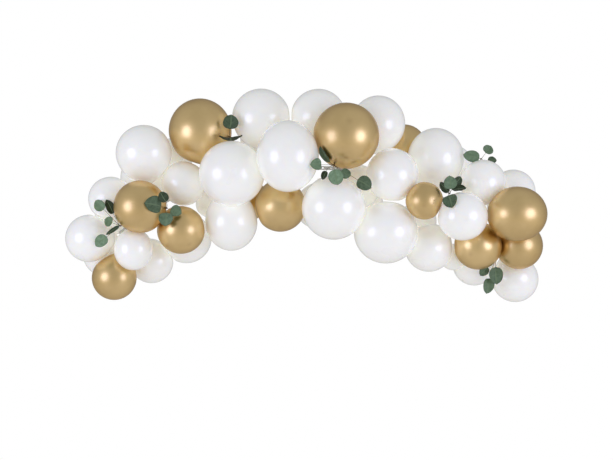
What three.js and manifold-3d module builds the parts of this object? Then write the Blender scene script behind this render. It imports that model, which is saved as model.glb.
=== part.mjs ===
// A balloon garland for a wall: satin white and chrome gold latex balloons, blown up to nine sizes and tied
// in three layers along a flat plastic strip, with sprigs of round-leaved eucalyptus tucked in between.
// Millimetres. +Z is up, +X is right and the wall is behind, at +Y. The origin lies on the rear face of the
// strip at its crown, where the garland hangs.
import * as THREE from "three";
import Module from "manifold-3d";
import { mergeVertices } from "three/addons/utils/BufferGeometryUtils.js";

const wasm = await Module();
wasm.setup();

// Inflated diameters, as a sizing box gives them.
const diameter = {
  giant: 267,
  large: 258,
  broad: 243,
  full: 231,
  medium: 215,
  small: 198,
  little: 186,
  mini: 166,
  slight: 152,
  tiny: 110,
};

// Latex at the knot: the tied neck and the rolled lip behind it.
const neckRadius = 6;
const neckLength = 15;
const lipRadius = 10;
const lipTip = 3;
const shoulder = 0.1;
const shoulderSharpness = 4;

// How balloons lean on each other. Centres come closer than two radii, and the flats so made keep a gap.
const frontSquash = 0.95;
const rearSquash = 0.88;
const contactGap = 0.3;
const rearLevel = 15;
const middleLevel = -110;
const fillLevel = 20;

// The hanging strip: flat plastic tape, its rear face in the plane y = 0.
const stripWidth = 16;
const stripThickness = 1.6;
const stripClearance = 2;
const stripHoleRadius = 4;
const stripHoleSides = 5;
const stripHolePitch = 140;
const stripSteps = 18;
const stripRoute = [
  [-800, -280],
  [-590, -135],
  [-300, -20],
  [-80, 0],
  [80, 0],
  [260, -12],
  [570, -125],
  [815, -285],
];

// Eucalyptus leaves are cupped discs on thin stalks.
const leafThickness = 1.6;
const leafCup = 4;
const leafLift = 5;
const stalkWidth = 2.4;
const budRadius = 6;
const budStretch = 3;

// How finely a balloon is faceted, by its diameter.
const fineBallFrom = 220;
const plainBallFrom = 150;

// A neck tries this many ways out and minds room more than it minds pointing at the strip.
const neckTries = 240;
const roomWeight = 3;

const samplesPerStep = 4;
const sameSpot = 0.001;

const finish = {
  white: new THREE.MeshStandardMaterial({ color: 0xf1f1f3, roughness: 0.28, metalness: 0 }),
  gold: new THREE.MeshStandardMaterial({ color: 0xb9945c, roughness: 0.22, metalness: 0.9 }),
  leaf: new THREE.MeshStandardMaterial({ color: 0x5f7d64, roughness: 0.6, metalness: 0 }),
  strip: new THREE.MeshStandardMaterial({ color: 0xe4eaec, roughness: 0.3, metalness: 0 }),
};

// Name, distance right of the crown, height above it, size and height over width. Each layer is tied in
// front of the one before it, in this order.
const rearLayer = [
  ["white_balloon_01", -575, 75, "tiny", 1],
  ["white_balloon_02", -690, -40, "medium", 1],
  ["white_balloon_03", 895, -475, "small", 1],
  ["white_balloon_04", -515, -300, "medium", 1],
  ["white_balloon_05", -665, -400, "little", 1],
  ["gold_balloon_01", 420, 95, "little", 1],
  ["white_balloon_06", -865, -370, "little", 1],
  ["white_balloon_07", 45, -165, "little", 1],
  ["white_balloon_08", 720, -410, "little", 1],
  ["white_balloon_09", 620, -380, "tiny", 1],
];
const middleLayer = [
  ["white_balloon_10", 865, -105, "little", 1],
  ["white_balloon_11", 510, -340, "small", 1],
  ["gold_balloon_02", 890, -330, "small", 1],
  ["white_balloon_12", 300, 180, "full", 1.04],
  ["white_balloon_13", 50, 210, "full", 1],
  ["white_balloon_14", -315, -230, "full", 1.11],
  ["white_balloon_15", -190, 205, "broad", 1],
  ["white_balloon_16", -820, -135, "little", 1],
  ["white_balloon_17", -515, -70, "little", 1],
  ["white_balloon_18", 540, 35, "broad", 1.08],
  ["gold_balloon_03", 710, -330, "small", 1],
  ["gold_balloon_04", -805, -465, "little", 1],
  ["white_balloon_19", -905, -300, "small", 1],
  ["gold_balloon_05", -445, 150, "giant", 1.03],
  ["white_balloon_20", -675, 55, "full", 1],
  ["white_balloon_21", 725, -70, "little", 1],
  ["gold_balloon_06", -520, -265, "small", 1],
  ["gold_balloon_07", -110, -165, "medium", 1],
  ["white_balloon_29", 215, -85, "little", 1],
];
const frontLayer = [
  ["white_balloon_22", 325, -275, "large", 0.97],
  ["white_balloon_23", 350, -40, "medium", 1.03],
  ["gold_balloon_08", 476, -147, "slight", 1],
  ["white_balloon_24", -715, -345, "mini", 1.09],
  ["gold_balloon_09", 850, -200, "full", 0.92],
  ["gold_balloon_10", -680, -170, "medium", 1],
  ["white_balloon_25", 110, -175, "large", 1],
  ["white_balloon_26", 626, -210, "small", 0.97],
  ["white_balloon_27", -305, -35, "giant", 1],
  ["gold_balloon_11", 160, 115, "giant", 1],
  ["white_balloon_28", -75, 30, "giant", 1.15],
];
// Pushed in last, from the wall side, to fill the back.
const fillLayer = [
  ["rear_white_balloon_1", -195, 135, "little", 1],
  ["rear_white_balloon_2", 145, 140, "small", 1],
  ["rear_gold_balloon_1", -260, -135, "little", 1],
  ["rear_white_balloon_3", 240, -165, "little", 1],
  ["rear_white_balloon_4", 630, 10, "little", 1],
  ["rear_white_balloon_9", 475, -230, "mini", 1],
  ["rear_white_balloon_5", 875, -145, "little", 1],
  ["rear_white_balloon_6", -822, -190, "little", 1],
  ["rear_white_balloon_7", -420, -155, "tiny", 1],
  ["rear_white_balloon_8", -548, 5, "tiny", 1],
];

// Where each sprig's stalks meet: right of the crown, behind the strip's rear face and above the crown. Then
// its leaves: right, above, length and width. A leaf that stands free of the balloons also has its own place
// behind the rear face, its tip back and its turn to the right from facing straight forward, in degrees.
const sprigs = [
  {
    name: "eucalyptus_sprig_1",
    root: [-760, -225, -245],
    leaves: [
      [-848, -163, 50, 48, -216, 0, -10],
      [-807, -170, 62, 38, -212, 0, 15],
      [-808, -229, 32, 44, -238, 0, 10],
      [-790, -266, 62, 18, -246, 0, 0],
      [-838, -311, 58, 50, -236, 0, 0],
    ],
  },
  {
    name: "eucalyptus_sprig_2",
    root: [-564, -258, -176],
    leaves: [
      [-576, -132, 44, 44, -307, 5, 20],
      [-617, -163, 74, 72],
      [-531, -189, 46, 54, -258, 25, 10],
      [-570, -221, 54, 60, -286, 10, 0],
    ],
  },
  {
    name: "eucalyptus_sprig_3",
    root: [-318, -160, 122],
    leaves: [
      [-312, 178, 58, 66, -216, 0, 0],
      [-310, 107, 50, 98, -232, 68, 0],
    ],
  },
  {
    name: "eucalyptus_sprig_4",
    root: [108, -345, -8],
    leaves: [
      [75, 37, 74, 42],
      [38, -8, 50, 48, -420, 0, 32],
      [70, -48, 36, 28, -392, 10, -20],
      [116, -57, 62, 62, -418, -15, 0],
      [155, -41, 44, 42, -390, -15, 10],
      [231, -80, 62, 60, -332, 0, 0],
    ],
  },
  {
    name: "eucalyptus_sprig_5",
    root: [720, -194, 27],
    leaves: [
      [678, 37, 66, 50, -208, 0, 0],
      [747, 66, 36, 46, -204, 10, 0],
      [770, 23, 36, 34, -158, 20, 0],
    ],
  },
  {
    name: "eucalyptus_sprig_6",
    root: [574, -328, -119],
    leaves: [
      [572, -76, 52, 56, -345, -5, 0],
      [553, -94, 54, 32, -321, 0, -25],
      [607, -72, 54, 40, -303, 0, 20],
      [610, -98, 58, 44, -335, 50, 0],
      [567, -151, 56, 62, -389, 22, -25],
    ],
  },
  {
    name: "eucalyptus_sprig_7",
    root: [788, -118, -384],
    leaves: [
      [743, -437, 46, 40, -112, 0, 0],
      [793, -455, 70, 60, -122, 0, 0],
      [762, -499, 64, 48, -102, 10, 0],
    ],
  },
];

const stripCurve = new THREE.CatmullRomCurve3(
  stripRoute.map(([x, z]) => new THREE.Vector3(x, -stripThickness / 2, z)),
  false,
  "centripetal",
);
const stripLength = stripCurve.getLength();
const stripPoints = stripCurve.getSpacedPoints(stripSteps * samplesPerStep);

function nearestStripPoint(x, z) {
  let nearest = stripPoints[0];
  for (const point of stripPoints) {
    if (Math.hypot(point.x - x, point.z - z) < Math.hypot(nearest.x - x, nearest.z - z)) nearest = point;
  }
  return nearest;
}

// How far in front of or behind the strip a ball stands that touches it.
function stripStandOff(x, z, radius) {
  const near = nearestStripPoint(x, z);
  const aside = Math.max(0, Math.hypot(near.x - x, near.z - z) - stripWidth / 2);
  return aside < radius ? Math.sqrt(radius ** 2 - aside ** 2) + stripThickness + stripClearance : 0;
}

// How far apart in depth two balloons stand that lean on each other, or null where they pass side by side.
function leanDepth(a, b, squash) {
  const aside = Math.hypot(a.x - b.x, a.z - b.z);
  const reach = squash * (a.radius + b.radius);
  return aside < reach ? Math.sqrt(reach ** 2 - aside ** 2) : null;
}

const balloons = [];

function settleForward(row, level, layer) {
  const [name, x, z, sizeName, tall] = row;
  const ball = { name, x, z, radius: diameter[sizeName] / 2, tall, layer };
  let y = level;
  const standOff = stripStandOff(x, z, ball.radius);
  if (standOff > 0) y = Math.min(y, -standOff);
  for (const other of balloons) {
    const depth = leanDepth(ball, other, other.layer === "rear" ? rearSquash : frontSquash);
    if (depth !== null) y = Math.min(y, other.y - depth);
  }
  ball.y = y;
  balloons.push(ball);
}

function settleFromBehind(row, level) {
  const [name, x, z, sizeName, tall] = row;
  const ball = { name, x, z, radius: diameter[sizeName] / 2, tall, layer: "fill" };
  let y = Math.max(level, stripStandOff(x, z, ball.radius));
  for (const other of balloons) {
    const depth = leanDepth(ball, other, frontSquash);
    if (depth !== null) y = Math.max(y, other.y + depth);
  }
  ball.y = y;
  balloons.push(ball);
}

rearLayer.forEach((row) => settleForward(row, rearLevel, "rear"));
middleLayer.forEach((row) => settleForward(row, middleLevel, "middle"));
frontLayer.forEach((row) => settleForward(row, middleLevel, "front"));
fillLayer.forEach((row) => settleFromBehind(row, fillLevel));

for (const ball of balloons) ball.centre = new THREE.Vector3(ball.x, ball.y, ball.z);

// The flats that a balloon is pressed to: where its ball meets a neighbour's, and along the strip.
function flatsAround(ball) {
  const flats = [];
  for (const other of balloons) {
    if (other === ball) continue;
    const between = other.centre.clone().sub(ball.centre);
    const apart = between.length();
    const reach = (apart ** 2 + ball.radius ** 2 - other.radius ** 2) / (2 * apart) - contactGap / 2;
    flats.push({ normal: between.normalize(), reach });
  }
  const near = nearestStripPoint(ball.x, ball.z);
  const normal = near.clone().sub(ball.centre).normalize();
  const edge = Math.hypot(normal.x, normal.z) * (stripWidth / 2) + Math.abs(normal.y) * (stripThickness / 2);
  let reach = Infinity;
  for (const point of stripPoints) {
    const offset = point.clone().sub(ball.centre);
    if (offset.length() > ball.radius * (1 + shoulder) + neckLength + stripWidth) continue;
    reach = Math.min(reach, offset.dot(normal));
  }
  if (reach < Infinity) flats.push({ normal, reach: reach - edge - contactGap });
  return flats;
}

function freeLength(direction, flats) {
  let free = Infinity;
  for (const flat of flats) {
    const facing = flat.normal.dot(direction);
    if (facing > 0) free = Math.min(free, flat.reach / facing);
  }
  return free;
}

// The neck points at the strip, or as near to that as a gap between the neighbours lets it.
function neckDirection(ball, flats) {
  const toStrip = nearestStripPoint(ball.x, ball.z).clone().sub(ball.centre).normalize();
  const wanted = ball.radius * (1 + shoulder) + neckLength + lipTip;
  const golden = Math.PI * (3 - Math.sqrt(5));
  let best = null;
  for (let i = 0; i < neckTries; i += 1) {
    const up = 1 - (2 * (i + 0.5)) / neckTries;
    const out = Math.sqrt(1 - up * up);
    const direction = new THREE.Vector3(out * Math.cos(golden * i), out * Math.sin(golden * i), up);
    const room = Math.min(freeLength(direction, flats), wanted) / wanted;
    const score = room * roomWeight + direction.dot(toStrip);
    if (!best || score > best.score) best = { direction, score };
  }
  return best.direction;
}

function pressInside(point, flats) {
  for (const flat of flats) {
    const depth = flat.normal.dot(point);
    if (depth > flat.reach) point.multiplyScalar(flat.reach / depth);
  }
  return point;
}

function indexed(geometry) {
  geometry.deleteAttribute("normal");
  geometry.deleteAttribute("uv");
  return mergeVertices(geometry, sameSpot);
}

// A ball of radius 1, with one of its corners as the pole that the neck grows from.
function unitBall(size) {
  if (size >= fineBallFrom) {
    const pole = new THREE.Vector3(0, 1, (1 + Math.sqrt(5)) / 2).normalize();
    return { base: indexed(new THREE.IcosahedronGeometry(1, 2)), pole };
  }
  const detail = size >= plainBallFrom ? 3 : 2;
  return { base: indexed(new THREE.OctahedronGeometry(1, detail)), pole: new THREE.Vector3(0, 1, 0) };
}

// One latex skin blown up tight and tied: a ball with a soft shoulder, drawn out to its neck and lip.
function balloonGeometry(ball) {
  const flats = flatsAround(ball);
  const neck = neckDirection(ball, flats);
  const { base, pole } = unitBall(ball.radius * 2);
  const turn = new THREE.Quaternion().setFromUnitVectors(pole, neck);
  const points = [];
  let poleIndex = 0;
  const position = base.getAttribute("position");
  for (let i = 0; i < position.count; i += 1) {
    const direction = new THREE.Vector3().fromBufferAttribute(position, i);
    if (direction.distanceTo(pole) < sameSpot) poleIndex = i;
    direction.applyQuaternion(turn);
    const towardNeck = Math.max(0, direction.dot(neck));
    const point = direction.multiplyScalar(ball.radius * (1 + shoulder * towardNeck ** shoulderSharpness));
    point.x /= Math.sqrt(ball.tall);
    point.z *= Math.sqrt(ball.tall);
    points.push(pressInside(point, flats));
  }
  const root = points[poleIndex].length();
  const free = freeLength(neck, flats);
  const neckEnd = Math.min(root + neckLength, free - lipTip);
  const triangles = [];
  const rim = [];
  const index = base.getIndex();
  for (let i = 0; i < index.count; i += 3) {
    const corners = [index.getX(i), index.getX(i + 1), index.getX(i + 2)];
    const at = corners.indexOf(poleIndex);
    if (at < 0) triangles.push(corners);
    else rim.push([corners[(at + 1) % 3], corners[(at + 2) % 3]]);
  }
  const rings = new Map();
  for (const [from] of rim) {
    const spoke = points[from].clone().addScaledVector(neck, -points[from].dot(neck)).normalize();
    const waist = neck.clone().multiplyScalar(root).addScaledVector(spoke, neckRadius);
    const lip = neck.clone().multiplyScalar(neckEnd).addScaledVector(spoke, lipRadius);
    rings.set(from, [points.length, points.length + 1]);
    points.push(waist, lip);
  }
  points.push(neck.clone().multiplyScalar(neckEnd + lipTip));
  const tip = points.length - 1;
  for (const [from, to] of rim) {
    const [waistFrom, lipFrom] = rings.get(from);
    const [waistTo, lipTo] = rings.get(to);
    triangles.push([from, to, waistTo], [from, waistTo, waistFrom]);
    triangles.push([waistFrom, waistTo, lipTo], [waistFrom, lipTo, lipFrom]);
    triangles.push([lipFrom, lipTo, tip]);
  }
  return meshGeometry(points, triangles);
}

function meshGeometry(points, triangles) {
  const geometry = new THREE.BufferGeometry();
  geometry.setAttribute("position", new THREE.Float32BufferAttribute(points.flatMap((p) => p.toArray()), 3));
  const used = new Set(triangles.flat());
  if (used.size < points.length) {
    const kept = points.map((_, i) => i).filter((i) => used.has(i));
    const renumber = new Map(kept.map((old, now) => [old, now]));
    return meshGeometry(kept.map((i) => points[i]), triangles.map((t) => t.map((i) => renumber.get(i))));
  }
  geometry.setIndex(triangles.flat());
  return geometry;
}

function solidOf(geometry) {
  return new wasm.Manifold(new wasm.Mesh({
    numProp: 3,
    vertProperties: new Float32Array(geometry.getAttribute("position").array),
    triVerts: new Uint32Array(geometry.getIndex().array),
  }));
}

function geometryOf(solid) {
  const { vertProperties, triVerts } = solid.getMesh();
  const geometry = new THREE.BufferGeometry();
  geometry.setAttribute("position", new THREE.BufferAttribute(new Float32Array(vertProperties), 3));
  geometry.setIndex(new THREE.BufferAttribute(new Uint32Array(triVerts), 1));
  return geometry;
}

// How far along the strip its crown is, over the origin.
function runToCrown() {
  let low = 0;
  let high = 1;
  while ((high - low) * stripLength > sameSpot) {
    const half = (low + high) / 2;
    if (stripCurve.getPointAt(half).x < 0) low = half;
    else high = half;
  }
  return low * stripLength;
}

// The strip is cut from sheet along its route, with a row of holes for the necks and the hanging line.
function stripGeometry() {
  const upper = [];
  const lower = [];
  for (let i = 0; i <= stripSteps; i += 1) {
    const at = stripCurve.getPointAt(i / stripSteps);
    const along = stripCurve.getTangentAt(i / stripSteps);
    upper.push(new THREE.Vector2(at.x - along.z * (stripWidth / 2), at.z + along.x * (stripWidth / 2)));
    lower.unshift(new THREE.Vector2(at.x + along.z * (stripWidth / 2), at.z - along.x * (stripWidth / 2)));
  }
  const outline = new THREE.Shape([...upper, ...lower]);
  const nearCrown = runToCrown() - stripHolePitch / 2;
  const first = nearCrown - stripHolePitch * Math.floor((nearCrown - stripWidth) / stripHolePitch);
  for (let run = first; run < stripLength - stripWidth; run += stripHolePitch) {
    const at = stripCurve.getPointAt(run / stripLength);
    const hole = new THREE.Path();
    for (let side = 0; side < stripHoleSides; side += 1) {
      const angle = (side / stripHoleSides) * 2 * Math.PI;
      const x = at.x + stripHoleRadius * Math.cos(angle);
      const z = at.z + stripHoleRadius * Math.sin(angle);
      if (side === 0) hole.moveTo(x, z);
      else hole.lineTo(x, z);
    }
    hole.closePath();
    outline.holes.push(hole);
  }
  const sheet = new THREE.ExtrudeGeometry(outline, { depth: stripThickness, bevelEnabled: false });
  return sheet.rotateX(Math.PI / 2);
}

// The face of the foremost balloon at a place, seen from straight ahead. Between balloons it is the rim of
// the nearest.
function faceInFront(x, z) {
  let face = null;
  let rim = null;
  for (const ball of balloons) {
    const aside = Math.hypot(x - ball.x, z - ball.z);
    const beyond = aside - ball.radius;
    if (beyond < 0) {
      const point = new THREE.Vector3(x, ball.y - Math.sqrt(ball.radius ** 2 - aside ** 2), z);
      const normal = point.clone().sub(ball.centre).normalize();
      if (!face || point.y < face.point.y) face = { point, normal };
    } else if (!rim || beyond < rim.beyond) {
      const normal = new THREE.Vector3(x - ball.x, 0, z - ball.z).normalize();
      rim = { point: ball.centre.clone().addScaledVector(normal, ball.radius), normal, beyond };
    }
  }
  return face ?? rim;
}

// Where a bud sits on the balloon nearest to its place, and which way its stub runs back along the skin.
function budSeat(place) {
  let nearest = balloons[0];
  const gap = (ball) => place.distanceTo(ball.centre) - ball.radius;
  for (const ball of balloons) {
    if (gap(ball) < gap(nearest)) nearest = ball;
  }
  const normal = place.clone().sub(nearest.centre).normalize();
  const root = nearest.centre.clone().addScaledVector(normal, nearest.radius + budRadius + contactGap);
  const back = new THREE.Vector3(0, 1, 0).addScaledVector(normal, -normal.y).normalize();
  return { root, back };
}

function leafSeat([x, z, , , forward, tip, turn]) {
  if (forward === undefined) {
    const face = faceInFront(x, z);
    return { centre: face.point.addScaledVector(face.normal, leafLift), normal: face.normal };
  }
  const normal = new THREE.Vector3(0, -1, 0)
    .applyAxisAngle(new THREE.Vector3(1, 0, 0), THREE.MathUtils.degToRad(-tip))
    .applyAxisAngle(new THREE.Vector3(0, 0, 1), THREE.MathUtils.degToRad(turn));
  return { centre: new THREE.Vector3(x, forward, z), normal };
}

// A round leaf: half its width at stations along its length, from the stalk to just short of the tip.
const leafStations = [
  [-0.5, 0],
  [-0.3, 0.36],
  [0.02, 0.5],
  [0.32, 0.36],
];

function pairAcross(centre, across, normal, halfWidth, cup) {
  return [-1, 1].map((side) => [-1, 1].map((face) => centre.clone()
    .addScaledVector(across, side * halfWidth)
    .addScaledVector(normal, cup + (face * leafThickness) / 2)));
}

// A leaf and its stalk as one thin solid, from the sprig's root to the tip of the leaf.
function leafSolid(root, centre, along, normal, length, width) {
  const across = new THREE.Vector3().crossVectors(normal, along);
  const base = centre.clone().addScaledVector(along, leafStations[0][0] * length);
  const run = base.clone().sub(root).normalize();
  const side = across.clone().addScaledVector(run, -across.dot(run)).normalize();
  const rise = new THREE.Vector3().crossVectors(run, side);
  const sections = [pairAcross(root, side, rise, stalkWidth / 2, 0)];
  for (const [u, v] of leafStations) {
    const halfWidth = Math.max(v * width, stalkWidth / 2);
    const at = centre.clone().addScaledVector(along, u * length);
    sections.push(pairAcross(at, across, normal, halfWidth, leafCup * (2 * v) ** 2));
  }
  const points = sections.flat(2);
  const tip = centre.clone().addScaledVector(along, length / 2);
  points.push(tip.clone().addScaledVector(normal, -leafThickness / 2));
  points.push(tip.clone().addScaledVector(normal, leafThickness / 2));
  const triangles = [];
  const quad = (a, b, c, d) => triangles.push([a, b, c], [a, c, d]);
  const [leftUnder, leftTop, rightUnder, rightTop] = [0, 1, 2, 3];
  quad(leftUnder, leftTop, rightTop, rightUnder);
  for (let i = 0; i < sections.length - 1; i += 1) {
    const near = i * 4;
    const far = near + 4;
    quad(near + leftTop, far + leftTop, far + rightTop, near + rightTop);
    quad(near + leftUnder, near + rightUnder, far + rightUnder, far + leftUnder);
    quad(near + leftUnder, far + leftUnder, far + leftTop, near + leftTop);
    quad(near + rightUnder, near + rightTop, far + rightTop, far + rightUnder);
  }
  const last = (sections.length - 1) * 4;
  const tipUnder = points.length - 2;
  const tipTop = points.length - 1;
  triangles.push([last + leftTop, tipTop, last + rightTop], [last + leftUnder, last + rightUnder, tipUnder]);
  quad(last + leftUnder, tipUnder, tipTop, last + leftTop);
  quad(last + rightUnder, last + rightTop, tipTop, tipUnder);
  return solidOf(meshGeometry(points, triangles));
}

// The leaves of a sprig spring from one bud, whose stub is tucked back between the balloons.
function sprigGeometry(sprig) {
  const { root, back } = budSeat(new THREE.Vector3(...sprig.root));
  const stub = new THREE.OctahedronGeometry(budRadius, 0);
  stub.scale(1, budStretch, 1);
  stub.translate(0, budRadius * (budStretch - 1), 0);
  stub.applyQuaternion(new THREE.Quaternion().setFromUnitVectors(new THREE.Vector3(0, 1, 0), back));
  stub.translate(root.x, root.y, root.z);
  let solid = solidOf(indexed(stub));
  for (const leaf of sprig.leaves) {
    const [, , length, width] = leaf;
    const { centre, normal } = leafSeat(leaf);
    const along = centre.clone().sub(root);
    along.addScaledVector(normal, -along.dot(normal)).normalize();
    solid = solid.add(leafSolid(root, centre, along, normal, length, width));
  }
  return geometryOf(solid);
}

function named(name, geometry, material) {
  const mesh = new THREE.Mesh(geometry, material);
  mesh.name = name;
  return mesh;
}

const garland = new THREE.Group();
for (const ball of balloons) {
  const colour = ball.name.includes("gold") ? finish.gold : finish.white;
  const mesh = named(ball.name, balloonGeometry(ball), colour);
  mesh.position.copy(ball.centre);
  garland.add(mesh);
}
garland.add(named("hanging_strip", stripGeometry(), finish.strip));
for (const sprig of sprigs) garland.add(named(sprig.name, sprigGeometry(sprig), finish.leaf));

export default garland;
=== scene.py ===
import math

import bpy
import numpy as np
from mathutils import Matrix, Vector


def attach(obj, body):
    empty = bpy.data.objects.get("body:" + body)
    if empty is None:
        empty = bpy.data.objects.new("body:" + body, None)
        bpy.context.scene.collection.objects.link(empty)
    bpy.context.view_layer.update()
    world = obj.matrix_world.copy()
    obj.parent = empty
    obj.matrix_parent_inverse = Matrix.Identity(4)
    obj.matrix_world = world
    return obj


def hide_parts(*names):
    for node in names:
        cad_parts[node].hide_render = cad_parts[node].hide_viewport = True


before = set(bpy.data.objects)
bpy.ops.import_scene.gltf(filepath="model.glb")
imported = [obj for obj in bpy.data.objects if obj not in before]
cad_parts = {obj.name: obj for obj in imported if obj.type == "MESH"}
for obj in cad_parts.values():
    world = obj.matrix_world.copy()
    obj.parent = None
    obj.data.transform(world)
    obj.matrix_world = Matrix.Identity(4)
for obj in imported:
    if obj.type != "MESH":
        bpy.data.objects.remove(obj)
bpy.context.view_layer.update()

# An arched garland of white and gold balloons on a clear strip, with eucalyptus tucked in.

mm = 0.001                                          # the garland is in millimetres, the rest in metres


# Nodes and meshes that the pieces share

noiseEnds = (0.3, 0.7)                              # noise hardly leaves this part of its range


def newMaterial(name):
    material = bpy.data.materials.new(name)
    material.use_nodes = True
    nodes, links = material.node_tree.nodes, material.node_tree.links
    return material, nodes, links, nodes["Principled BSDF"]


def setFinish(shader, finish):                      # what is the same all over the surface
    for name, value in finish.items():
        shader.inputs[name].default_value = value


def addNoise(nodes, links, scale, detail, stretch=(1, 1, 1)):
    place = nodes.new("ShaderNodeTexCoord")
    mapping = nodes.new("ShaderNodeMapping")
    mapping.inputs["Scale"].default_value = stretch
    noise = nodes.new("ShaderNodeTexNoise")
    noise.inputs["Scale"].default_value = scale
    noise.inputs["Detail"].default_value = detail
    links.new(place.outputs["Object"], mapping.inputs["Vector"])
    links.new(mapping.outputs["Vector"], noise.inputs["Vector"])
    return noise.outputs["Fac"]


def addRamp(nodes, links, value, low, high, ends=noiseEnds):
    ramp = nodes.new("ShaderNodeValToRGB")
    for element, at, colour in zip(ramp.color_ramp.elements, ends, (low, high)):
        element.position = at
        element.color = (*colour, 1)
    links.new(value, ramp.inputs["Fac"])
    return ramp.outputs["Color"]


def addRange(nodes, links, value, low, high, ends=noiseEnds):
    spread = nodes.new("ShaderNodeMapRange")
    spread.inputs["From Min"].default_value = ends[0]
    spread.inputs["From Max"].default_value = ends[1]
    spread.inputs["To Min"].default_value = low
    spread.inputs["To Max"].default_value = high
    links.new(value, spread.inputs["Value"])
    return spread.outputs["Result"]


def addMix(nodes, links, amount, first, second):    # the second is a colour, or comes from another node
    mix = nodes.new("ShaderNodeMix")
    mix.data_type = "RGBA"
    links.new(amount, mix.inputs["Factor"])
    links.new(first, mix.inputs["A"])
    if isinstance(second, tuple):
        mix.inputs["B"].default_value = (*second, 1)
    else:
        links.new(second, mix.inputs["B"])
    return mix.outputs["Result"]


def addAttribute(nodes, name):
    attribute = nodes.new("ShaderNodeAttribute")
    attribute.attribute_name = name
    return attribute.outputs["Fac"]


def addBump(nodes, links, shader, height, strength, depth, under=None):
    bump = nodes.new("ShaderNodeBump")
    bump.inputs["Strength"].default_value = strength
    bump.inputs["Distance"].default_value = depth
    links.new(height, bump.inputs["Height"])
    if under is not None:
        links.new(under, bump.inputs["Normal"])
    links.new(bump.outputs["Normal"], shader.inputs["Normal"])
    return bump.outputs["Normal"]


def addMesh(name, points, faces, material):
    mesh = bpy.data.meshes.new(name)
    mesh.from_pydata([tuple(point) for point in points], [], faces)
    mesh.validate()
    mesh.materials.append(material)
    mesh.shade_smooth()
    piece = bpy.data.objects.new(name, mesh)
    bpy.context.scene.collection.objects.link(piece)
    return piece


def setAttribute(piece, name, values):
    attribute = piece.data.attributes.new(name, "FLOAT", "POINT")
    attribute.data.foreach_set("value", np.asarray(values, dtype=np.float32))


def fullTurn(sides):                                # angles evenly round a circle
    return np.arange(sides) * 2 * math.pi / sides


def frameAcross(axis):                              # two directions square to this one
    upright = abs(axis[2]) >= 0.9
    side = np.cross(axis, [1.0, 0.0, 0.0] if upright else [0.0, 0.0, 1.0])
    side /= np.linalg.norm(side)
    return side, np.cross(axis, side)


# Camera, light and floor

studio = {
    "cameraPlace": (0.0, -5.131, -0.265),           # a little below the garland's middle
    "cameraLens": 70.4,
    "cameraFilm": 36.0,
    "skyTop": (0.90, 0.92, 0.94),                   # the studio's own light, overhead, level and below
    "skyLevel": (0.98, 0.99, 1.0),
    "skyBottom": (1.42, 1.35, 1.22),
    "skyFront": 0.49,                               # its strength in front, at the sides and behind
    "skySides": 0.54,
    "skyBack": 0.36,
    "sweep": (1.0, 1.0, 1.0),                       # what the camera sees behind the garland
    "boxAngles": (-49.0, 47.0),                     # two round soft boxes, left and right of the camera
    "boxDistance": 3.6,
    "boxHeight": -0.15,
    "boxAim": (0.0, -0.1, -0.2),
    "boxSide": 2.0,
    "boxPower": 21.0,
    "boxColour": (0.93, 0.95, 1.36),
    "floorHeight": -2.0,                            # the crown hangs two metres up
    "floorRadius": 3.0,
    "floorSides": 96,
    "floorPale": (0.88, 0.88, 0.87),
    "floorSpeck": (0.84, 0.84, 0.83),
    "floorSpecks": (14.0, 3.0),                     # scale and detail, as for every noise below
    "floorFinish": {
        "Roughness": 0.7,
        "Emission Color": (1.0, 0.84, 0.58, 1),     # lamps turned down, so it throws warm light up
        "Emission Strength": 0.11,
    },
}


def makeCamera():
    data = bpy.data.cameras.new("camera")
    data.lens = studio["cameraLens"]
    data.sensor_width = studio["cameraFilm"]
    data.sensor_fit = "HORIZONTAL"
    camera = bpy.data.objects.new("camera", data)
    camera.location = studio["cameraPlace"]
    camera.rotation_euler = (math.radians(90), 0, 0)    # level, looking along +Y
    bpy.context.scene.collection.objects.link(camera)
    bpy.context.scene.camera = camera


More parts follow.
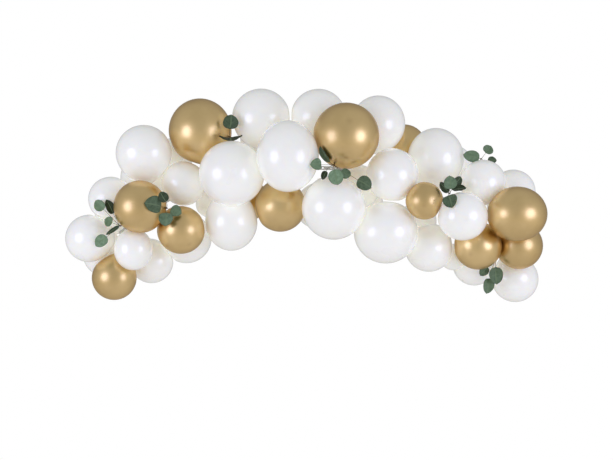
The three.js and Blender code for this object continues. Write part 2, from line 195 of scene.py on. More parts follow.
def makeSky():
    world = bpy.data.worlds.new("paleStudio")
    bpy.context.scene.world = world
    world.use_nodes = True
    nodes, links = world.node_tree.nodes, world.node_tree.links
    nodes.clear()
    place = nodes.new("ShaderNodeTexCoord")
    split = nodes.new("ShaderNodeSeparateXYZ")
    links.new(place.outputs["Generated"], split.inputs[0])

    # The colour goes by height.
    ramp = nodes.new("ShaderNodeValToRGB")
    ramp.color_ramp.elements[0].color = (*studio["skyBottom"], 1)
    ramp.color_ramp.elements[1].color = (*studio["skyTop"], 1)
    middle = ramp.color_ramp.elements.new(0.5)
    middle.color = (*studio["skyLevel"], 1)
    links.new(addRange(nodes, links, split.outputs["Z"], 0, 1, (-1, 1)), ramp.inputs["Fac"])

    # The strength goes from front to back. The curve holds half of it, and it is doubled after.
    depth = nodes.new("ShaderNodeFloatCurve")
    curve = depth.mapping.curves[0]
    curve.points[0].location = (0, studio["skyFront"] / 2)
    curve.points[1].location = (1, studio["skyBack"] / 2)
    curve.points.new(0.5, studio["skySides"] / 2)
    depth.mapping.update()
    links.new(addRange(nodes, links, split.outputs["Y"], 0, 1, (-1, 1)), depth.inputs["Value"])
    double = nodes.new("ShaderNodeMath")
    double.operation = "MULTIPLY"
    double.inputs[1].default_value = 2
    links.new(depth.outputs["Value"], double.inputs[0])

    lit = nodes.new("ShaderNodeBackground")
    links.new(ramp.outputs["Color"], lit.inputs["Color"])
    links.new(double.outputs[0], lit.inputs["Strength"])
    seen = nodes.new("ShaderNodeBackground")
    seen.inputs["Color"].default_value = (*studio["sweep"], 1)
    rays = nodes.new("ShaderNodeLightPath")
    mix = nodes.new("ShaderNodeMixShader")
    out = nodes.new("ShaderNodeOutputWorld")
    links.new(rays.outputs["Is Camera Ray"], mix.inputs[0])
    links.new(lit.outputs[0], mix.inputs[1])
    links.new(seen.outputs[0], mix.inputs[2])
    links.new(mix.outputs[0], out.inputs["Surface"])


def makeFloor():
    radius, height = studio["floorRadius"], studio["floorHeight"]
    turns = fullTurn(studio["floorSides"])
    rim = [(radius * math.cos(turn), radius * math.sin(turn), height) for turn in turns]
    mesh = bpy.data.meshes.new("floor")
    mesh.from_pydata(rim, [], [list(range(len(rim)))])
    floor = bpy.data.objects.new("floor", mesh)
    bpy.context.scene.collection.objects.link(floor)
    material, nodes, links, shader = newMaterial("palePaintedFloor")
    specks = addNoise(nodes, links, *studio["floorSpecks"])
    tone = addRamp(nodes, links, specks, studio["floorSpeck"], studio["floorPale"])
    links.new(tone, shader.inputs["Base Color"])
    setFinish(shader, studio["floorFinish"])
    mesh.materials.append(material)


def makeSoftBox(name, angle):
    data = bpy.data.lights.new(name, "AREA")
    data.shape = "DISK"
    data.size = studio["boxSide"]
    data.energy = studio["boxPower"]
    data.color = studio["boxColour"]
    light = bpy.data.objects.new(name, data)
    turn, distance = math.radians(angle), studio["boxDistance"]
    place = Vector((distance * math.sin(turn), -distance * math.cos(turn), studio["boxHeight"]))
    light.location = place
    light.rotation_euler = (Vector(studio["boxAim"]) - place).to_track_quat("-Z", "Y").to_euler()
    bpy.context.scene.collection.objects.link(light)


def setUpStudio():
    bpy.context.scene.view_settings.view_transform = "Standard"
    makeCamera()
    makeSky()
    makeFloor()
    for name, angle in zip(("leftSoftBox", "rightSoftBox"), studio["boxAngles"]):
        makeSoftBox(name, angle)
    print("studio: camera, sky, floor and soft boxes")


# Hanging strip

stripShape = {
    "width": 16,
    "thick": 1.6,
    "edge": 0.25,                 # how far the stamped edge is rounded
    "largeHole": (4.0, 20),       # radius and sides
    "largePitch": 140,            # one large hole each side of the crown, and on at this pitch
    "smallHole": (2.2, 14),
    "smallPitch": 35,
    "steps": 160,
    "stepsBetween": 40,           # between two points of the route, before the steps are evened out
}
stripRoute = [                    # right of the crown, and above it
    (-800, -280), (-590, -135), (-300, -20), (-80, 0), (80, 0), (260, -12), (570, -125), (815, -285),
]
stripLooks = {
    "dull": (0.80, 0.83, 0.84),
    "clear": (0.88, 0.90, 0.90),
    "haze": (60.0, 3.0),
    "roughness": (0.18, 0.32),
    "drawnLines": (40.0, 1.0, (1, 1, 30)),
    "lineBump": (0.1, 0.0003),    # strength, and depth in metres, as for every bump below
    "finish": {
        "Transmission Weight": 0.45,
        "IOR": 1.5,
    },
}


def smoothRoute(route, samples):                    # a centripetal curve through the route's points
    points = [np.array(point, dtype=float) for point in route]
    points = [2 * points[0] - points[1], *points, 2 * points[-1] - points[-2]]
    out = []
    for a, b, c, d in zip(points, points[1:], points[2:], points[3:]):
        spans = [np.linalg.norm(end - start) ** 0.5 for start, end in ((a, b), (b, c), (c, d))]
        t1, t2, t3 = np.cumsum(spans)
        for t in np.linspace(t1, t2, samples, endpoint=False):
            low = a * (t1 - t) / t1 + b * t / t1
            middle = b * (t2 - t) / (t2 - t1) + c * (t - t1) / (t2 - t1)
            high = c * (t3 - t) / (t3 - t2) + d * (t - t2) / (t3 - t2)
            first = low * (t2 - t) / t2 + middle * t / t2
            second = middle * (t3 - t) / (t3 - t1) + high * (t - t1) / (t3 - t1)
            out.append(first * (t2 - t) / (t2 - t1) + second * (t - t1) / (t2 - t1))
    out.append(points[-2])
    return np.array(out)


def evenSteps(path, count):
    runs = np.concatenate([[0], np.cumsum(np.linalg.norm(np.diff(path, axis=0), axis=1))])
    wanted = np.linspace(0, runs[-1], count)
    return np.stack([np.interp(wanted, runs, path[:, i]) for i in range(path.shape[1])], axis=1), runs[-1]


smoothLine = smoothRoute(stripRoute, stripShape["stepsBetween"])
stripLine, stripLength = evenSteps(smoothLine, stripShape["steps"] + 1)
stripLevel = np.full(len(stripLine), -stripShape["thick"] / 2 * mm)     # its rear face is at y = 0
stripPath = np.stack([stripLine[:, 0] * mm, stripLevel, stripLine[:, 1] * mm], axis=1)


def makeClearStrip():
    look = stripLooks
    material, nodes, links, shader = newMaterial("milkyClearStrip")
    haze = addNoise(nodes, links, *look["haze"])
    links.new(addRamp(nodes, links, haze, look["dull"], look["clear"]), shader.inputs["Base Color"])
    links.new(addRange(nodes, links, haze, *look["roughness"]), shader.inputs["Roughness"])
    setFinish(shader, look["finish"])
    drawnLines = addNoise(nodes, links, *look["drawnLines"])
    addBump(nodes, links, shader, drawnLines, *look["lineBump"])
    return material


def stripOutline():
    tangents = np.gradient(stripLine, axis=0)
    tangents /= np.linalg.norm(tangents, axis=1)[:, None]
    across = np.stack([-tangents[:, 1], tangents[:, 0]], axis=1) * stripShape["width"] / 2
    return np.concatenate([stripLine + across, (stripLine - across)[::-1]])


def stripHoles():                                   # the real strip hangs on the two large ones at the crown
    count = np.arange(len(stripLine))
    crown = float(np.interp(0, stripLine[:, 0], count)) / count[-1] * stripLength
    pitch, endRoom = stripShape["smallPitch"], stripShape["width"]
    everyLarge = stripShape["largePitch"] // pitch
    hangingHole = crown - stripShape["largePitch"] / 2
    run = hangingHole - pitch * math.floor((hangingHole - endRoom) / pitch)
    holes = []
    while run < stripLength - endRoom:
        large = round((run - hangingHole) / pitch) % everyLarge == 0
        radius, sides = stripShape["largeHole" if large else "smallHole"]
        at = np.array([np.interp(run / stripLength * count[-1], count, stripLine[:, i]) for i in (0, 1)])
        holes.append([at + radius * np.array([math.cos(turn), math.sin(turn)]) for turn in fullTurn(sides)])
        run += pitch
    return holes


def stampStrip():
    curve = bpy.data.curves.new("stripSheet", "CURVE")
    curve.dimensions = "2D"
    curve.fill_mode = "BOTH"
    curve.extrude = (stripShape["thick"] / 2 - stripShape["edge"]) * mm
    curve.bevel_depth = stripShape["edge"] * mm
    curve.bevel_resolution = 1
    holes = stripHoles()
    for loop in (stripOutline(), *holes):
        spline = curve.splines.new("POLY")
        spline.points.add(len(loop) - 1)
        for point, (x, z) in zip(spline.points, loop):
            point.co = (x * mm, z * mm, 0, 1)
        spline.use_cyclic_u = True
    flat = bpy.data.objects.new("stripSheet", curve)
    bpy.context.scene.collection.objects.link(flat)
    mesh = bpy.data.meshes.new_from_object(flat.evaluated_get(bpy.context.evaluated_depsgraph_get()))
    bpy.data.objects.remove(flat)
    mesh.transform(Matrix.Rotation(math.radians(90), 4, "X"))
    mesh.transform(Matrix.Translation((0, -stripShape["thick"] / 2 * mm, 0)))
    mesh.name = "punched_hanging_strip"
    mesh.materials.clear()
    mesh.materials.append(makeClearStrip())
    strip = bpy.data.objects.new("punched_hanging_strip", mesh)
    bpy.context.scene.collection.objects.link(strip)
    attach(strip, "root")
    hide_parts("hanging_strip")
    print(f"strip: {len(holes)} holes along {stripLength:.0f} mm")


# Balloons

balloonSizes = {                  # inflated diameters, as a sizing box gives them
    "giant": 267, "large": 258, "broad": 243, "full": 231, "medium": 215,
    "small": 198, "little": 186, "mini": 166, "slight": 152, "tiny": 110,
}
balloonRows = [                   # name, right of the crown, above it, size, height over width
    ("white_balloon_01", -575, 75, "tiny", 1), ("white_balloon_02", -690, -40, "medium", 1),
    ("white_balloon_03", 895, -475, "small", 1), ("white_balloon_04", -515, -300, "medium", 1),
    ("white_balloon_05", -665, -400, "little", 1), ("gold_balloon_01", 420, 95, "little", 1),
    ("white_balloon_06", -865, -370, "little", 1), ("white_balloon_07", 45, -165, "little", 1),
    ("white_balloon_08", 720, -410, "little", 1), ("white_balloon_09", 620, -380, "tiny", 1),
    ("white_balloon_10", 865, -105, "little", 1), ("white_balloon_11", 510, -340, "small", 1),
    ("gold_balloon_02", 890, -330, "small", 1), ("white_balloon_12", 300, 180, "full", 1.04),
    ("white_balloon_13", 50, 210, "full", 1), ("white_balloon_14", -315, -230, "full", 1.11),
    ("white_balloon_15", -190, 205, "broad", 1), ("white_balloon_16", -820, -135, "little", 1),
    ("white_balloon_17", -515, -70, "little", 1), ("white_balloon_18", 540, 35, "broad", 1.08),
    ("gold_balloon_03", 710, -330, "small", 1), ("gold_balloon_04", -805, -465, "little", 1),
    ("white_balloon_19", -905, -300, "small", 1), ("gold_balloon_05", -445, 150, "giant", 1.03),
    ("white_balloon_20", -675, 55, "full", 1), ("white_balloon_21", 725, -70, "little", 1),
    ("gold_balloon_06", -520, -265, "small", 1), ("gold_balloon_07", -110, -165, "medium", 1),
    ("white_balloon_29", 215, -85, "little", 1), ("gold_balloon_08", 476, -147, "slight", 1),
    ("white_balloon_22", 325, -275, "large", 0.97), ("white_balloon_23", 350, -40, "medium", 1.03),
    ("white_balloon_24", -715, -345, "mini", 1.09), ("gold_balloon_09", 850, -200, "full", 0.92),
    ("gold_balloon_10", -680, -170, "medium", 1), ("white_balloon_25", 110, -175, "large", 1),
    ("white_balloon_26", 626, -210, "small", 0.97), ("white_balloon_27", -305, -35, "giant", 1),
    ("gold_balloon_11", 160, 115, "giant", 1), ("white_balloon_28", -75, 30, "giant", 1.15),
    ("rear_white_balloon_1", -195, 135, "little", 1), ("rear_white_balloon_2", 145, 140, "small", 1),
    ("rear_gold_balloon_1", -260, -135, "little", 1), ("rear_white_balloon_3", 240, -165, "little", 1),
    ("rear_white_balloon_4", 630, 10, "little", 1), ("rear_white_balloon_9", 475, -230, "mini", 1),
    ("rear_white_balloon_5", 875, -145, "little", 1), ("rear_white_balloon_6", -822, -190, "little", 1),
    ("rear_white_balloon_7", -420, -155, "tiny", 1), ("rear_white_balloon_8", -548, 5, "tiny", 1),
]
balloonShape = {                  # angles are in radians, from the neck's axis or the crown
    "around": 80,
    "along": 62,
    "crowding": 0.045,            # draws the rings together at the neck and the crown
    "shoulder": 0.10,             # how far the ball is drawn out toward its neck, as a share of its radius
    "shoulderSharpness": 4,
    "neckRadius": 5.2,
    "neckRise": 9.0,              # the skin runs up to the neck in a cone
    "coneAngle": 0.30,
    "coneSharpness": 2.2,
    "neckLength": 18.0,           # from the ball to the end of the lip
    "shortestNeck": 4.0,
    "mouth": 0.70,                # where the hollow of the lip ends, as a share of the neck's length
    "knotRings": (2, 3, 4),       # where the profile below is the knot
    "knotFolds": 0.10,            # how uneven the knot is, and the rest of the neck
    "lipWaves": 0.05,
    "twist": 1.7,                 # turns each knot on from the last one, in radians
    "contactGap": 0.3,
    "softEdge": 13.0,             # how gently the ball turns into the flat where it leans on a neighbour
    "stripNear": (1.1, 31.0),     # the strip presses within this many radii of the centre, and so much more
    "crownPatch": 0.16,           # the less stretched latex at the crown, and how thick it looks
    "crownThick": 0.35,
    "neckPatch": 0.42,            # and at the neck, where it is thickest and fades away
    "neckFade": 1.6,
}
neckProfile = [                   # radius, and distance along the neck as a share of its length
    (5.0, 0.10), (5.3, 0.20), (6.9, 0.27), (7.7, 0.35), (7.2, 0.44), (5.2, 0.51), (4.3, 0.56), (4.9, 0.63),
    (6.9, 0.74), (8.9, 0.86), (9.8, 0.93), (10.0, 0.97), (9.5, 1.00), (8.6, 0.985), (7.4, 0.92), (5.6, 0.82),
    (3.4, 0.74), (1.4, 0.71),
]
whiteLooks = {
    "thin": (0.902, 0.920, 0.882),                  # blown up thin and even
    "cloudy": (0.884, 0.899, 0.860),
    "thick": (0.86, 0.84, 0.80),                    # less stretched, at the neck and the crown
    "clouds": (7.0, 2.0),
    "roughness": (0.27, 0.33),
    "finish": {
        "IOR": 1.52,
        "Subsurface Weight": 0.85,
        "Subsurface Scale": 0.05,
        "Subsurface Radius": (1.0, 0.85, 0.65),
        "Coat Weight": 1.0,
        "Coat Roughness": 0.20,
        "Coat IOR": 1.75,
        "Emission Color": (1.0, 0.95, 0.88, 1),     # painted light: the skin glows a little, standing in for daylight coming through it, and lifts its shaded crevices to a warm cream
        "Emission Strength": 0.19,
    },
}
goldLooks = {
    "thin": (0.81, 0.575, 0.235),
    "cloudy": (0.70, 0.485, 0.180),
    "thick": (0.56, 0.35, 0.12),
    "clouds": (7.0, 3.0),
    "roughness": (0.36, 0.42),
    "ripples": (16.0, 1.5),                         # slow waves in the mirror coating
    "rippleBump": (0.16, 0.006),
    "finish": {
        "Metallic": 1.0,
        "Specular Tint": (0.50, 0.34, 0.14, 1),     # darker at the rim
        "Coat Weight": 0.75,
        "Coat Roughness": 0.26,
        "Coat IOR": 1.95,
    },
}
skinLooks = {
    "cloudEnds": (0.35, 0.65),
    "grain": (620.0, 2.0),
    "grainBump": (0.05, 0.0002),
}


def startLatex(name, look):
    material, nodes, links, shader = newMaterial(name)
    clouds = addNoise(nodes, links, *look["clouds"])
    tone = addRamp(nodes, links, clouds, look["thin"], look["cloudy"], skinLooks["cloudEnds"])
    tone = addMix(nodes, links, addAttribute(nodes, "thickSkin"), tone, look["thick"])
    links.new(tone, shader.inputs["Base Color"])
    links.new(addRange(nodes, links, clouds, *look["roughness"]), shader.inputs["Roughness"])
    setFinish(shader, look["finish"])
    return material, nodes, links, shader


def addGrain(nodes, links, shader, under=None):
    grain = addNoise(nodes, links, *skinLooks["grain"])
    addBump(nodes, links, shader, grain, *skinLooks["grainBump"], under)


def makeWhiteLatex():
    material, nodes, links, shader = startLatex("whitePearlLatex", whiteLooks)
    addGrain(nodes, links, shader)
    return material


def makeGoldLatex():
    material, nodes, links, shader = startLatex("chromeGoldLatex", goldLooks)
    ripples = addNoise(nodes, links, *goldLooks["ripples"])
    addGrain(nodes, links, shader, addBump(nodes, links, shader, ripples, *goldLooks["rippleBump"]))
    return material


def cadMesh(node):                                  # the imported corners, welded, and their edges
    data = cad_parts[node].data
    points = np.zeros(len(data.vertices) * 3)
    data.vertices.foreach_get("co", points)
    points, index = np.unique(points.reshape(-1, 3).round(6), axis=0, return_inverse=True)
    edges = np.array([edge.vertices[:] for edge in data.edges])
    return points, index.reshape(-1)[edges]


def findDepth(points, x, z, radius, tall):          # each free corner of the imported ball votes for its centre
    across, high = radius / math.sqrt(tall), radius * math.sqrt(tall)
    left = 1 - ((points[:, 0] - x) / across) ** 2 - ((points[:, 2] - z) / high) ** 2
    reach = radius * np.sqrt(left[left > 0])
    guesses = np.concatenate([points[left > 0, 1] + reach, points[left > 0, 1] - reach])
    agree = 0.2 * mm
    votes = [(np.abs(guesses - guess) < agree).sum() for guess in guesses]
    best = guesses[int(np.argmax(votes))]
    return float(guesses[np.abs(guesses - best) < agree].mean())


def findLip(points, edges):                         # the lip's middle is the corner with only short edges
    spans = np.linalg.norm(points[edges[:, 0]] - points[edges[:, 1]], axis=1)
    longest = np.zeros(len(points))
    np.maximum.at(longest, edges[:, 0], spans)
    np.maximum.at(longest, edges[:, 1], spans)
    return points[int(np.argmin(longest))]


def readBalloons():
    balloons = []
    for name, x, z, size, tall in balloonRows:
        points, edges = cadMesh(name)
        radius = balloonSizes[size] / 2 * mm
        centre = np.array([x * mm, findDepth(points, x * mm, z * mm, radius, tall), z * mm])
        lip = findLip(points, edges) - centre
        balloons.append({"name": name, "centre": centre, "radius": radius, "tall": tall,
                         "neck": lip / np.linalg.norm(lip), "lipReach": float(np.linalg.norm(lip))})
    return balloons


def stripAgainst(ball):                             # where the strip presses on this ball
    gaps = np.hypot(stripPath[:, 0] - ball["centre"][0], stripPath[:, 2] - ball["centre"][2])
    toward = stripPath[int(np.argmin(gaps))] - ball["centre"]
    toward = toward / np.linalg.norm(toward)
    wide, thick = stripShape["width"] / 2, stripShape["thick"] / 2
    edge = math.hypot(toward[0], toward[2]) * wide + abs(toward[1]) * thick
    radii, more = balloonShape["stripNear"]
    offsets = stripPath - ball["centre"]
    close = np.linalg.norm(offsets, axis=1) < ball["radius"] * radii + more * mm
    if not close.any():
        return None
    return toward, (offsets[close] @ toward).min() - (edge + balloonShape["contactGap"]) * mm


def flatsAround(ball, balloons):                    # where this ball meets each neighbour, and the strip
    flats = []
    for other in balloons:
        if other is ball:
            continue
        between = other["centre"] - ball["centre"]
        apart = np.linalg.norm(between)
        meeting = (apart ** 2 + ball["radius"] ** 2 - other["radius"] ** 2) / (2 * apart)
        flats.append((between / apart, meeting - balloonShape["contactGap"] / 2 * mm))
    strip = stripAgainst(ball)
    return flats if strip is None else [*flats, strip]


def pressBall(points, flats):                       # rolls the skin softly into every flat it leans on
    length = np.linalg.norm(points, axis=1)
    ways = points / length[:, None]
    soft = balloonShape["softEdge"] * mm
    edgeOn = 0.02                                   # skin that faces a flat less than this never reaches it
    for normal, reach in flats:
        facing = ways @ normal
        limit = np.where(facing > edgeOn, reach / np.maximum(facing, edgeOn), np.inf)
        overlap = np.clip(soft - np.abs(length - limit), 0, None) / soft
        length = np.minimum(length, limit) - overlap ** 2 * soft / 4
    return ways * length[:, None]


def blowUp(ball, spokes):                           # rings of skin from the crown to the neck
    shape, neck, radius = balloonShape, ball["neck"], ball["radius"]
    last = math.asin(shape["neckRadius"] * mm / (radius * (1 + shape["shoulder"])))
    share = np.linspace(0, 1, shape["along"] + 1)[1:]
    angles = math.pi - (math.pi - last) * (share - shape["crowding"] * np.sin(2 * math.pi * share))
    rings = [(-neck * radius)[None, :]]
    for angle in angles:
        toward = max(0.0, math.cos(angle))
        cone = max(0.0, 1 - angle / shape["coneAngle"])
        length = radius * (1 + shape["shoulder"] * toward ** shape["shoulderSharpness"])
        length += shape["neckRise"] * mm * cone ** shape["coneSharpness"]
        rings.append((math.cos(angle) * neck + math.sin(angle) * spokes) * length)
    points = np.concatenate(rings)
    points[:, 0] /= math.sqrt(ball["tall"])
    points[:, 2] *= math.sqrt(ball["tall"])
    return points, angles


def tieNeck(ball, start, spokes, turns, number):    # knot, rolled lip and mouth
    shape, neck = balloonShape, ball["neck"]
    room = ball["lipReach"] - float(start @ neck)
    free = max(shape["shortestNeck"] * mm, min(shape["neckLength"] * mm, room))
    twist = number * shape["twist"]
    rings = []
    for step, (ring, share) in enumerate(neckProfile):
        wobble = 1 + shape["lipWaves"] * np.cos(2 * turns + twist)
        if step in shape["knotRings"]:
            wobble = 1 + shape["knotFolds"] * np.cos(3 * turns + step + twist)
        rings.append(start + neck * free * share + spokes * (ring * mm * wobble)[:, None])
    rings.append((start + neck * free * shape["mouth"])[None, :])
    return np.concatenate(rings)


def skinThickness(angles, neckPoints):              # 1 where the latex is least stretched
    shape = balloonShape
    atCrown = np.clip(1 - (math.pi - angles) / shape["crownPatch"], 0, 1) * shape["crownThick"]
    atNeck = np.clip(1 - angles / shape["neckPatch"], 0, 1) ** shape["neckFade"]
    skin = np.repeat(np.clip(atCrown + atNeck, 0, 1), shape["around"])
    return np.concatenate([[shape["crownThick"]], skin, np.ones(neckPoints)])


def skinFaces(around, rows):                        # the crown, the rows of skin and neck, and the mouth
    faces = []
    last = 1 + (rows - 1) * around
    for i in range(around):
        j = (i + 1) % around
        faces.append((0, 1 + j, 1 + i))
        for row in range(rows - 1):
            a, b = 1 + row * around, 1 + (row + 1) * around
            faces.append((a + i, a + j, b + j, b + i))
        faces.append((last + i, last + j, last + around))
    return faces


def makeBalloon(ball, balloons, material, number):
    around = balloonShape["around"]
    side, other = frameAcross(ball["neck"])
    turns = fullTurn(around)
    spokes = np.cos(turns)[:, None] * side + np.sin(turns)[:, None] * other
    skin, angles = blowUp(ball, spokes)
    skin = pressBall(skin, flatsAround(ball, balloons))
    neck = tieNeck(ball, skin[-around:].mean(axis=0), spokes, turns, number)
    points = np.concatenate([skin, neck]) + ball["centre"]
    faces = skinFaces(around, balloonShape["along"] + len(neckProfile))
    balloon = addMesh(ball["name"].replace("_balloon_", "_latex_balloon_"), points, faces, material)
    setAttribute(balloon, "thickSkin", skinThickness(angles, len(neck)))
    return balloon


def blowUpBalloons():
    white, gold = makeWhiteLatex(), makeGoldLatex()
    balloons = readBalloons()
    for number, ball in enumerate(balloons):
        golden = "gold" in ball["name"]
        balloon = makeBalloon(ball, balloons, gold if golden else white, number)
        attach(balloon, "root")
        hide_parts(ball["name"])
    print(f"balloons: {len(balloons)} blown up and tied")


# Eucalyptus sprigs

leafShape = {                     # shares of the leaf's length or width, unless a note says otherwise
    "along": 22,                  # faces
    "across": 16,
    "thick": 0.7,                 # in millimetres
    "widest": 0.88,               # a power: under 1 the leaf is widest before its middle
    "roundness": 0.52,            # a power: the lower, the fuller its outline
    "taper": 0.10,
    "bluntEnd": 0.012,
    "point": 0.05,
    "pointFrom": 0.8,
    "cup": 0.10,
    "bend": 0.16,
    "fold": 0.05,
    "ripple": 0.018,
    "rippleWaves": 5,             # half waves along the leaf
    "rippleLean": 2.4,            # how far they run on from the middle to the edge, in radians
    "sway": 0.04,
    "unlike": 2.3,                # sets each leaf's ripple and sway apart from the last one's, in radians
    "heelDrop": 0.0025,           # how far behind the blade its stalk ends
}
leafVeins = {                     # shares of half the leaf, and how strongly each shows
    "ribWidth": 0.045,
    "ribShows": 0.75,
    "sideVeins": 6,               # pairs
    "sideSlant": 2.0,
    "sideWidth": 0.09,            # a share of the gap between two
    "sideShows": 0.22,
    "sideEnd": 0.85,
    "rimFrom": 0.93,
    "rimShows": 0.4,
}
leafLooks = {                     # two mottled colours for a leaf in shade, painted dark, and two for a lit leaf, painted pale
    "shadedLeaf": ((0.012, 0.022, 0.005), (0.030, 0.048, 0.016)),
    "litLeaf": ((0.155, 0.255, 0.142), (0.270, 0.400, 0.245)),
    "vein": (0.19, 0.27, 0.14),
    "rim": (0.040, 0.060, 0.025),
    "mottle": (85.0, 4.0),
    "roughness": (0.48, 0.66),
    "weave": (900.0, 2.0),
    "weaveBump": (0.25, 0.0003),
    "finish": {
        "Sheen Weight": 0.06,
        "Sheen Roughness": 0.5,
        "Specular IOR Level": 0.30,
    },
}
stalkShape = {                    # in millimetres, or shares of the gap between the bud and the leaf
    "sides": 8,
    "stalkRadius": 1.1,
    "stalkTaper": 0.6,
    "stalkSteps": 12,
    "leavesBud": 0.25,            # straight forward from the bud at first
    "meetsLeaf": 0.4,             # in line with the leaf at last
    "underLeaf": 0.10,            # runs on under this share of the leaf
    "stemRadius": 1.7,
    "budRadius": 3.4,
    "stemSteps": 10,
    "stem": ((0, -4, 0), (0, 6, 0), (0, 14, 1), (0, 29, 0)),    # bends from the bud back between the balloons
    "budSwell": (0.5, 0.95 * math.pi),
}
stalkLooks = {
    "bark": (120.0, 4.0, (1, 1, 0.3)),
    "barkEnds": (0.35, 0.65),
    "brown": (0.060, 0.045, 0.022),
    "green": (0.155, 0.125, 0.065),
    "barkBump": (0.4, 0.0006),
    "finish": {"Roughness": 0.62},
}
# Where a sprig's stalks meet: right of the crown, behind it, above it. Then each leaf: right, above, length,
# width, behind, tip tilted back, face turned to the right, and how lit it is: painted pale in light, dark in
# shade.
sprigRows = {
    "eucalyptus_sprig_1": ((-763, -225, -248), [
        (-848, -163, 50, 48, -216, 0, -10, 0.90), (-807, -170, 62, 38, -212, 0, 15, 0.03),
        (-808, -229, 32, 44, -238, 0, 10, 0.95), (-790, -266, 62, 18, -246, 0, 0, 0.12),
        (-838, -311, 58, 50, -236, 0, 0, 1.00)]),
    "eucalyptus_sprig_2": ((-569, -257, -176), [
        (-576, -132, 44, 44, -307, 5, 20, 0.12), (-614, -163, 74, 72, -325, 4, 36, 0.40),
        (-531, -189, 46, 54, -258, 25, 10, 0.72), (-570, -221, 54, 60, -286, 10, 0, 0.66)]),
    "eucalyptus_sprig_3": ((-318, -160, 122), [
        (-312, 178, 58, 66, -216, 0, 0, 0.28), (-310, 107, 50, 98, -232, 68, 0, 0.02)]),
    "eucalyptus_sprig_4": ((109, -344, -6), [
        (72, 34, 74, 42, -366, -35, -52, 0.30), (38, -8, 50, 48, -420, 0, 32, 0.84),
        (70, -48, 36, 28, -392, 10, -20, 0.02), (116, -57, 62, 62, -418, -15, 0, 0.95),
        (155, -41, 44, 42, -390, -15, 10, 0.52), (231, -80, 62, 60, -332, 0, 0, 0.41)]),
    "eucalyptus_sprig_5": ((720, -194, 28), [
        (678, 37, 66, 50, -208, 0, 0, 0.74), (747, 66, 36, 46, -204, 10, 0, 0.64),
        (770, 23, 36, 34, -158, 20, 0, 0.31)]),
    "eucalyptus_sprig_6": ((574, -328, -119), [
        (572, -76, 52, 56, -345, -5, 0, 0.72), (553, -94, 54, 32, -321, 0, -25, 0.10),
        (607, -72, 54, 40, -303, 0, 20, 0.15), (610, -98, 58, 44, -335, 50, 0, 0.00),
        (567, -151, 56, 62, -397, 22, -25, 0.34)]),
    "eucalyptus_sprig_7": ((788, -118, -384), [
        (743, -437, 46, 40, -112, 0, 0, 0.45), (793, -455, 70, 60, -122, 0, 0, 0.55),
        (762, -499, 64, 48, -102, 10, 0, 0.68)]),
}


def makeLeafMaterial():
    look = leafLooks
    material, nodes, links, shader = newMaterial("dustyGreenLeaf")
    mottle = addNoise(nodes, links, *look["mottle"])
    shadedLeaf = addRamp(nodes, links, mottle, *look["shadedLeaf"])
    litLeaf = addRamp(nodes, links, mottle, *look["litLeaf"])
    # painted light and shade: each leaf's lit amount blends its dark shaded colours into its pale lit ones
    tone = addMix(nodes, links, addAttribute(nodes, "leafLitAmount"), shadedLeaf, litLeaf)
    tone = addMix(nodes, links, addAttribute(nodes, "leafVein"), tone, look["vein"])
    tone = addMix(nodes, links, addAttribute(nodes, "leafRim"), tone, look["rim"])
    links.new(tone, shader.inputs["Base Color"])
    links.new(addRange(nodes, links, mottle, *look["roughness"]), shader.inputs["Roughness"])
    setFinish(shader, look["finish"])
    weave = addNoise(nodes, links, *look["weave"])
    addBump(nodes, links, shader, weave, *look["weaveBump"])
    return material


def makeStalkMaterial():
    look = stalkLooks
    material, nodes, links, shader = newMaterial("brownGreenStalk")
    bark = addNoise(nodes, links, *look["bark"])
    tone = addRamp(nodes, links, bark, look["brown"], look["green"], look["barkEnds"])
    links.new(tone, shader.inputs["Base Color"])
    setFinish(shader, look["finish"])
    addBump(nodes, links, shader, bark, *look["barkBump"])
    return material


def leafFacing(tip, turn):
    return np.array([math.cos(tip) * math.sin(turn), -math.cos(tip) * math.cos(turn), math.sin(tip)])


def leafMarks(u, v):                                # how much of rib, side veins and rim shows at this point
    marks = leafVeins
    rib = math.exp(-(v / marks["ribWidth"]) ** 2) * marks["ribShows"]
    fromSide = abs((u * marks["sideVeins"] - abs(v) * marks["sideSlant"]) % 1 - 0.5)
    sideVein = max(0.0, 1 - fromSide / marks["sideWidth"]) * marks["sideShows"]
    if abs(v) >= marks["sideEnd"]:
        sideVein = 0.0
    fromMiddle = max(abs(v), abs(2 * u - 1))
    rim = max(0.0, (fromMiddle - marks["rimFrom"]) / (1 - marks["rimFrom"])) * marks["rimShows"]
    return max(rib, sideVein), rim


def makeLeaf(root, middle, facing, length, width, number):
    shape = leafShape
    forward = middle - root
    forward = forward - facing * (forward @ facing)
    forward /= np.linalg.norm(forward)
    right = np.cross(facing, forward)
    rows, columns = shape["along"], shape["across"]
    unlike = number * shape["unlike"]
    points, vein, rim, faces = [], [], [], []
    for i in range(rows + 1):
        u = i / rows
        belly = max(0.0, 1 - (2 * u ** shape["widest"] - 1) ** 2) ** shape["roundness"]
        half = width / 2 * (belly * (1 - shape["taper"] * u) + shape["bluntEnd"])
        point = shape["point"] * max(0.0, u - shape["pointFrom"]) / (1 - shape["pointFrom"])
        bend = -shape["bend"] * length * (u - 0.5) ** 2
        sway = shape["sway"] * width * math.sin(math.pi * u) * math.sin(unlike)
        for k in range(columns + 1):
            v = 2 * k / columns - 1
            cup = shape["cup"] * width * v * v * belly
            fold = shape["fold"] * width * (abs(v) - 0.5) * belly
            wave = math.sin(shape["rippleWaves"] * math.pi * u + shape["rippleLean"] * v + unlike)
            ripple = shape["ripple"] * width * wave * v * v
            points.append(middle + forward * length * (u - 0.5 + point * (1 - v * v))
                          + right * (half * v + sway) + facing * (cup + bend + ripple + fold))
            marks = leafMarks(u, v)
            vein.append(marks[0])
            rim.append(marks[1])
    for i in range(rows):
        for k in range(columns):
            a = i * (columns + 1) + k
            faces.append((a, a + 1, a + columns + 2, a + columns + 1))
    heel = middle - forward * length / 2 - facing * (shape["bend"] * length / 4 + shape["heelDrop"] * width)
    return points, faces, vein, rim, heel, forward


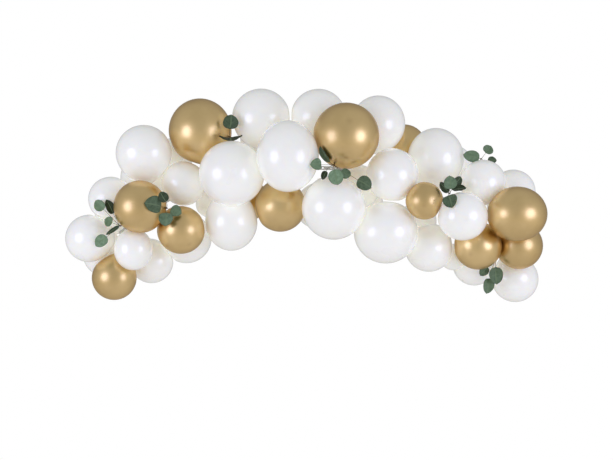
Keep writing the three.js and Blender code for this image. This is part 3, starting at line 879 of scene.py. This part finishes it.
def makeTube(path, radii):
    sides = stalkShape["sides"]
    tangents = np.gradient(path, axis=0)
    tangents /= np.linalg.norm(tangents, axis=1)[:, None]
    side, _ = frameAcross(tangents[0])
    points, faces = [], []
    for at, tangent, radius in zip(path, tangents, radii):
        side = side - tangent * (side @ tangent)
        side /= np.linalg.norm(side)
        other = np.cross(tangent, side)
        for turn in fullTurn(sides):
            points.append(at + (side * math.cos(turn) + other * math.sin(turn)) * radius)
    last = (len(path) - 1) * sides
    for a in range(0, last, sides):
        for k in range(sides):
            j = (k + 1) % sides
            faces.append((a + k, a + j, a + sides + j, a + sides + k))
    faces.append(tuple(reversed(range(sides))))
    faces.append(tuple(range(last, last + sides)))
    return points, faces


def bezier(a, b, c, d, count):
    t = np.linspace(0, 1, count)[:, None]
    return a * (1 - t) ** 3 + 3 * b * t * (1 - t) ** 2 + 3 * c * t * t * (1 - t) + d * t ** 3


def stalkTo(bud, heel, forward, length):
    shape = stalkShape
    gap = np.linalg.norm(heel - bud)
    path = bezier(bud, bud + np.array([0, -1, 0]) * gap * shape["leavesBud"],
                  heel - forward * gap * shape["meetsLeaf"],
                  heel + forward * length * shape["underLeaf"], shape["stalkSteps"])
    thin = shape["stalkRadius"] * shape["stalkTaper"]
    return makeTube(path, np.linspace(shape["stalkRadius"], thin, shape["stalkSteps"]) * mm)


def stemBehind(bud):
    shape = stalkShape
    path = bezier(*(bud + np.array(point) * mm for point in shape["stem"]), shape["stemSteps"])
    swell = np.sin(np.linspace(*shape["budSwell"], shape["stemSteps"]))
    return makeTube(path, (shape["stemRadius"] + swell * (shape["budRadius"] - shape["stemRadius"])) * mm)


def joinFaces(points, faces, morePoints, moreFaces):
    faces.extend(tuple(i + len(points) for i in face) for face in moreFaces)
    points.extend(morePoints)


def growSprig(name, root, leaves, number, leafMaterial, stalkMaterial):
    points, faces, vein, rim, tone = [], [], [], [], []
    stemPoints, stemFaces = [], []
    bud = np.array(root) * mm
    for x, z, length, width, y, tip, turn, leafLitAmount in leaves:
        number += 1
        middle = np.array([x, y, z]) * mm
        facing = leafFacing(math.radians(tip), math.radians(turn))
        leaf = makeLeaf(bud, middle, facing, length * mm, width * mm, number)
        leafPoints, leafFaces, leafVein, leafRim, heel, forward = leaf
        joinFaces(points, faces, leafPoints, leafFaces)
        vein.extend(leafVein)
        rim.extend(leafRim)
        # how lit this leaf is, painted into its colour as shade or light
        tone.extend([leafLitAmount] * len(leafPoints))
        joinFaces(stemPoints, stemFaces, *stalkTo(bud, heel, forward, length * mm))
    joinFaces(stemPoints, stemFaces, *stemBehind(bud))
    blades = addMesh(name.replace("sprig", "leaves"), points, faces, leafMaterial)
    setAttribute(blades, "leafVein", vein)
    setAttribute(blades, "leafRim", rim)
    setAttribute(blades, "leafLitAmount", tone)
    solid = blades.modifiers.new("leafThickness", "SOLIDIFY")
    solid.thickness = leafShape["thick"] * mm
    solid.offset = 0
    stems = addMesh(name.replace("sprig", "stems"), stemPoints, stemFaces, stalkMaterial)
    for piece in (blades, stems):
        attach(piece, "root")
        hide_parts(name)
    return number


def growSprigs():
    leafMaterial, stalkMaterial = makeLeafMaterial(), makeStalkMaterial()
    number = 0
    for name, (root, leaves) in sprigRows.items():
        number = growSprig(name, root, leaves, number, leafMaterial, stalkMaterial)
    print(f"eucalyptus: {number} leaves on {len(sprigRows)} sprigs")


# Everything in place

setUpStudio()
blowUpBalloons()
stampStrip()
growSprigs()
